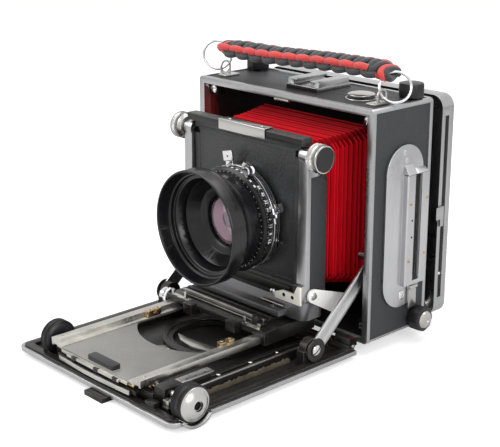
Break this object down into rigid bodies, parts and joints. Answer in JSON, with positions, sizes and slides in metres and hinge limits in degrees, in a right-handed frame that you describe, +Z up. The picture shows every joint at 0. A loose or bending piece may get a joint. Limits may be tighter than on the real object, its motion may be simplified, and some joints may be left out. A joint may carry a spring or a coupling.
{
  "type": "folding technical field camera",
  "caption": "Folding bellows field camera with its bed open: boxed casing, focusing track, front standard with hooded shutter lens, red bellows, turning back and woven carrying strap.",
  "frame": {"origin": "centre of the tripod socket's mouth in the underside of the base plate, on the plane the camera stands on", "axes": "+Z up; the lens looks along -Y, so -Y is the front; +X is the side with the grip plate"},
  "size_m": [0.1958, 0.2819, 0.2025],
  "materials": {
    "grained_black": "black grained covering on bare metal edges",
    "satin_silver": "satin bare metal",
    "bright_steel": "fine brushed",
    "chrome": "polished",
    "black_metal": "satin black with worn edges",
    "board_black": "fine crinkle black",
    "lens_black": "smooth satin black",
    "brass": "aged satin brass",
    "glass": "coated, clear",
    "ground": "ground on one side",
    "red_cloth": "smooth coated cloth, pleated",
    "cord": "woven cord in red and black"
  },
  "bodies": {
    "camera_body": {"body_shell": "grained_black", "base_plate": "bright_steel", "body_fittings": "chrome", "accessory_shoe": "satin_silver", "strap_lugs": "bright_steel", "grip_plate": "satin_silver", "bellows_drop": "red_cloth"},
    "bed": {"bed_pan": "black_metal", "bed_rim": "satin_silver", "bed_guides": "black_metal", "strut_brackets": "black_metal", "bellows_focus": "red_cloth"},
    "strut_right_body": {"strut_right": "satin_silver"},
    "strut_left_body": {"strut_left": "satin_silver"},
    "focus_drive": {"focus_shaft": "chrome", "focus_knobs": "black_metal"},
    "track": {"focus_track": "satin_silver", "track_plate": "satin_silver", "bellows_carriage": "red_cloth"},
    "stop_right_body": {"stop_right": "brass"},
    "stop_left_body": {"stop_left": "brass"},
    "carriage_body": {"carriage": "black_metal", "bellows_shift": "red_cloth"},
    "carriage_clamp_body": {"carriage_clamp": "chrome"},
    "shift_body": {"shift_plate": "black_metal", "bellows_swing": "red_cloth"},
    "swing_body": {"swing_base": "black_metal", "bellows_rise": "red_cloth"},
    "standard": {"standard_frame": "satin_silver", "bellows_tilt": "red_cloth"},
    "rise_lever_body": {"rise_lever": "chrome"},
    "tilt_knob_right_body": {"tilt_knob_right": "satin_silver"},
    "tilt_knob_left_body": {"tilt_knob_left": "satin_silver"},
    "lens_front": {"lens_panel": "black_metal", "lens_board": "board_black", "shutter_housing": "lens_black", "lens_cells": "lens_black", "lens_elements": "glass", "shutter_blades": "lens_black", "lens_hood": "lens_black"},
    "board_lock": {"board_lock_slider": "chrome"},
    "speed_ring_body": {"speed_ring": "lens_black"},
    "aperture_body": {"aperture_lever": "chrome"},
    "cocking_body": {"cocking_lever": "chrome"},
    "release_body": {"release_lever": "chrome"},
    "press_focus_body": {"press_focus_lever": "chrome"},
    "back": {"back_frame": "satin_silver", "back_rods": "bright_steel"},
    "turning_back": {"revolving_back": "black_metal"},
    "glass_carrier": {"glass_frame": "black_metal", "ground_glass": "ground"},
    "hood_cover": {"focusing_hood_cover": "black_metal"},
    "lock_top_right": {"lock_knob_top_right": "black_metal"},
    "lock_top_left": {"lock_knob_top_left": "black_metal"},
    "lock_low_right": {"lock_knob_low_right": "black_metal"},
    "lock_low_left": {"lock_knob_low_left": "black_metal"},
    "bed_button": {"bed_release_button": "chrome"},
    "grip_lever": {"grip_release_lever": "bright_steel"},
    "handle": {"strap": "cord", "strap_rings": "bright_steel"}
  },
  "joints": [
    {"name": "bed_drop", "type": "hinge", "parent": "camera_body", "child": "bed", "pos_m": [0, -0.0335, 0.006], "axis": [1, 0, 0], "range_deg": [0, 30], "deforming": ["bellows_drop"]},
    {"name": "strut_right_swing", "type": "hinge", "parent": "bed", "child": "strut_right_body", "pos_m": [0.0776, -0.073, 0.016], "axis": [1, 0, 0], "range_deg": [-21, 0.5]},
    {"name": "strut_left_swing", "type": "hinge", "parent": "bed", "child": "strut_left_body", "pos_m": [-0.0776, -0.073, 0.016], "axis": [1, 0, 0], "range_deg": [-21, 0.5]},
    {"name": "focus", "type": "slide", "parent": "bed", "child": "track", "axis": [0, -1, 0], "range_m": [0, 0.06], "deforming": ["bellows_focus"]},
    {"name": "focus_turn", "type": "hinge", "parent": "bed", "child": "focus_drive", "pos_m": [0, -0.1825, 0.0146], "axis": [1, 0, 0], "range_deg": [-10, 1085]},
    {"name": "stop_right_fold", "type": "hinge", "parent": "track", "child": "stop_right_body", "pos_m": [0.0369, -0.117, 0.0198], "axis": [0, -1, 0], "range_deg": [0, 90]},
    {"name": "stop_left_fold", "type": "hinge", "parent": "track", "child": "stop_left_body", "pos_m": [-0.0369, -0.117, 0.0198], "axis": [0, 1, 0], "range_deg": [0, 90]},
    {"name": "carriage_slide", "type": "slide", "parent": "track", "child": "carriage_body", "axis": [0, -1, 0], "range_m": [-0.01, 0.016], "deforming": ["bellows_carriage"]},
    {"name": "clamp_turn", "type": "hinge", "parent": "carriage_body", "child": "carriage_clamp_body", "pos_m": [-0.05, -0.088, 0.021], "axis": [1, 0, 0], "range_deg": [-90, 30]},
    {"name": "shift", "type": "slide", "parent": "carriage_body", "child": "shift_body", "axis": [1, 0, 0], "range_m": [-0.009, 0.009], "deforming": ["bellows_shift"]},
    {"name": "swing", "type": "hinge", "parent": "shift_body", "child": "swing_body", "pos_m": [0, -0.057, 0.03], "axis": [0, 0, 1], "range_deg": [-8, 8], "deforming": ["bellows_swing"]},
    {"name": "rise", "type": "slide", "parent": "swing_body", "child": "standard", "axis": [0, 0, 1], "range_m": [0, 0.022], "deforming": ["bellows_rise"]},
    {"name": "rise_lock", "type": "hinge", "parent": "standard", "child": "rise_lever_body", "pos_m": [0.0637, -0.061, 0.047], "axis": [1, 0, 0], "range_deg": [0, 25]},
    {"name": "tilt", "type": "hinge", "parent": "standard", "child": "lens_front", "pos_m": [0, -0.061, 0.143], "axis": [1, 0, 0], "range_deg": [-8, 8], "deforming": ["bellows_tilt"]},
    {"name": "tilt_lock_right", "type": "hinge", "parent": "standard", "child": "tilt_knob_right_body", "pos_m": [0.06, -0.061, 0.143], "axis": [1, 0, 0], "range_deg": [-30, 120]},
    {"name": "tilt_lock_left", "type": "hinge", "parent": "standard", "child": "tilt_knob_left_body", "pos_m": [-0.06, -0.061, 0.143], "axis": [1, 0, 0], "range_deg": [-120, 30]},
    {"name": "board_lock_lift", "type": "slide", "parent": "lens_front", "child": "board_lock", "axis": [0, 0, 1], "range_m": [0, 0.004]},
    {"name": "speed_select", "type": "hinge", "parent": "lens_front", "child": "speed_ring_body", "pos_m": [0, -0.066, 0.0905], "axis": [0, 1, 0], "range_deg": [-90, 90]},
    {"name": "aperture_select", "type": "hinge", "parent": "lens_front", "child": "aperture_body", "pos_m": [0, -0.066, 0.0905], "axis": [0, -1, 0], "range_deg": [-20, 25]},
    {"name": "cocking", "type": "hinge", "parent": "lens_front", "child": "cocking_body", "pos_m": [0, -0.066, 0.0905], "axis": [0, -1, 0], "range_deg": [-20, 0]},
    {"name": "release", "type": "hinge", "parent": "lens_front", "child": "release_body", "pos_m": [0, -0.066, 0.0905], "axis": [0, -1, 0], "range_deg": [-8, 0], "stiffness_Nm_per_rad": 0.05},
    {"name": "press_focus", "type": "hinge", "parent": "lens_front", "child": "press_focus_body", "pos_m": [0, -0.066, 0.0905], "axis": [0, -1, 0], "range_deg": [0, 15]},
    {"name": "back_slide", "type": "slide", "parent": "camera_body", "child": "back", "axis": [0, 1, 0], "range_m": [-0.011, 0.008]},
    {"name": "back_turn", "type": "hinge", "parent": "back", "child": "turning_back", "pos_m": [0, 0.06, 0.091], "axis": [0, 1, 0], "range_deg": [0, 90]},
    {"name": "glass_lift", "type": "slide", "parent": "turning_back", "child": "glass_carrier", "axis": [0, 1, 0], "range_m": [0, 0.018], "stiffness_N_per_m": 300, "springref_m": -0.01},
    {"name": "hood_open", "type": "hinge", "parent": "glass_carrier", "child": "hood_cover", "pos_m": [0, 0.0714, 0.1444], "axis": [1, 0, 0], "range_deg": [0, 90], "stiffness_Nm_per_rad": 0.02},
    {"name": "lock_top_right_turn", "type": "hinge", "parent": "camera_body", "child": "lock_top_right", "pos_m": [0.0755, 0.02, 0.178], "axis": [0, 0, 1], "range_deg": [-90, 90]},
    {"name": "lock_top_left_turn", "type": "hinge", "parent": "camera_body", "child": "lock_top_left", "pos_m": [-0.0755, 0.02, 0.178], "axis": [0, 0, 1], "range_deg": [-90, 90]},
    {"name": "lock_low_right_turn", "type": "hinge", "parent": "camera_body", "child": "lock_low_right", "pos_m": [0.092, 0.02, 0.017], "axis": [1, 0, 0], "range_deg": [-90, 90]},
    {"name": "lock_low_left_turn", "type": "hinge", "parent": "camera_body", "child": "lock_low_left", "pos_m": [-0.092, 0.02, 0.017], "axis": [1, 0, 0], "range_deg": [-90, 90]},
    {"name": "button_press", "type": "slide", "parent": "camera_body", "child": "bed_button", "axis": [0, 0, -1], "range_m": [0, 0.001], "stiffness_N_per_m": 400, "springref_m": -0.002},
    {"name": "grip_release", "type": "hinge", "parent": "camera_body", "child": "grip_lever", "pos_m": [0.0891, 0.013, 0.042], "axis": [0, -1, 0], "range_deg": [0, 8], "stiffness_Nm_per_rad": 0.05, "springref_deg": -11.46},
    {"name": "handle_swing", "type": "hinge", "parent": "camera_body", "child": "handle", "pos_m": [0, -0.012, 0.1785], "axis": [1, 0, 0], "range_deg": [-8, 30]}
  ],
  "couplings": [
    {"joint": "focus_turn", "follows": "focus", "rad_per_m": 312.5},
    {"joint": "strut_right_swing", "follows": "bed_drop", "ratio": -0.638},
    {"joint": "strut_left_swing", "follows": "bed_drop", "ratio": -0.638}
  ]
}
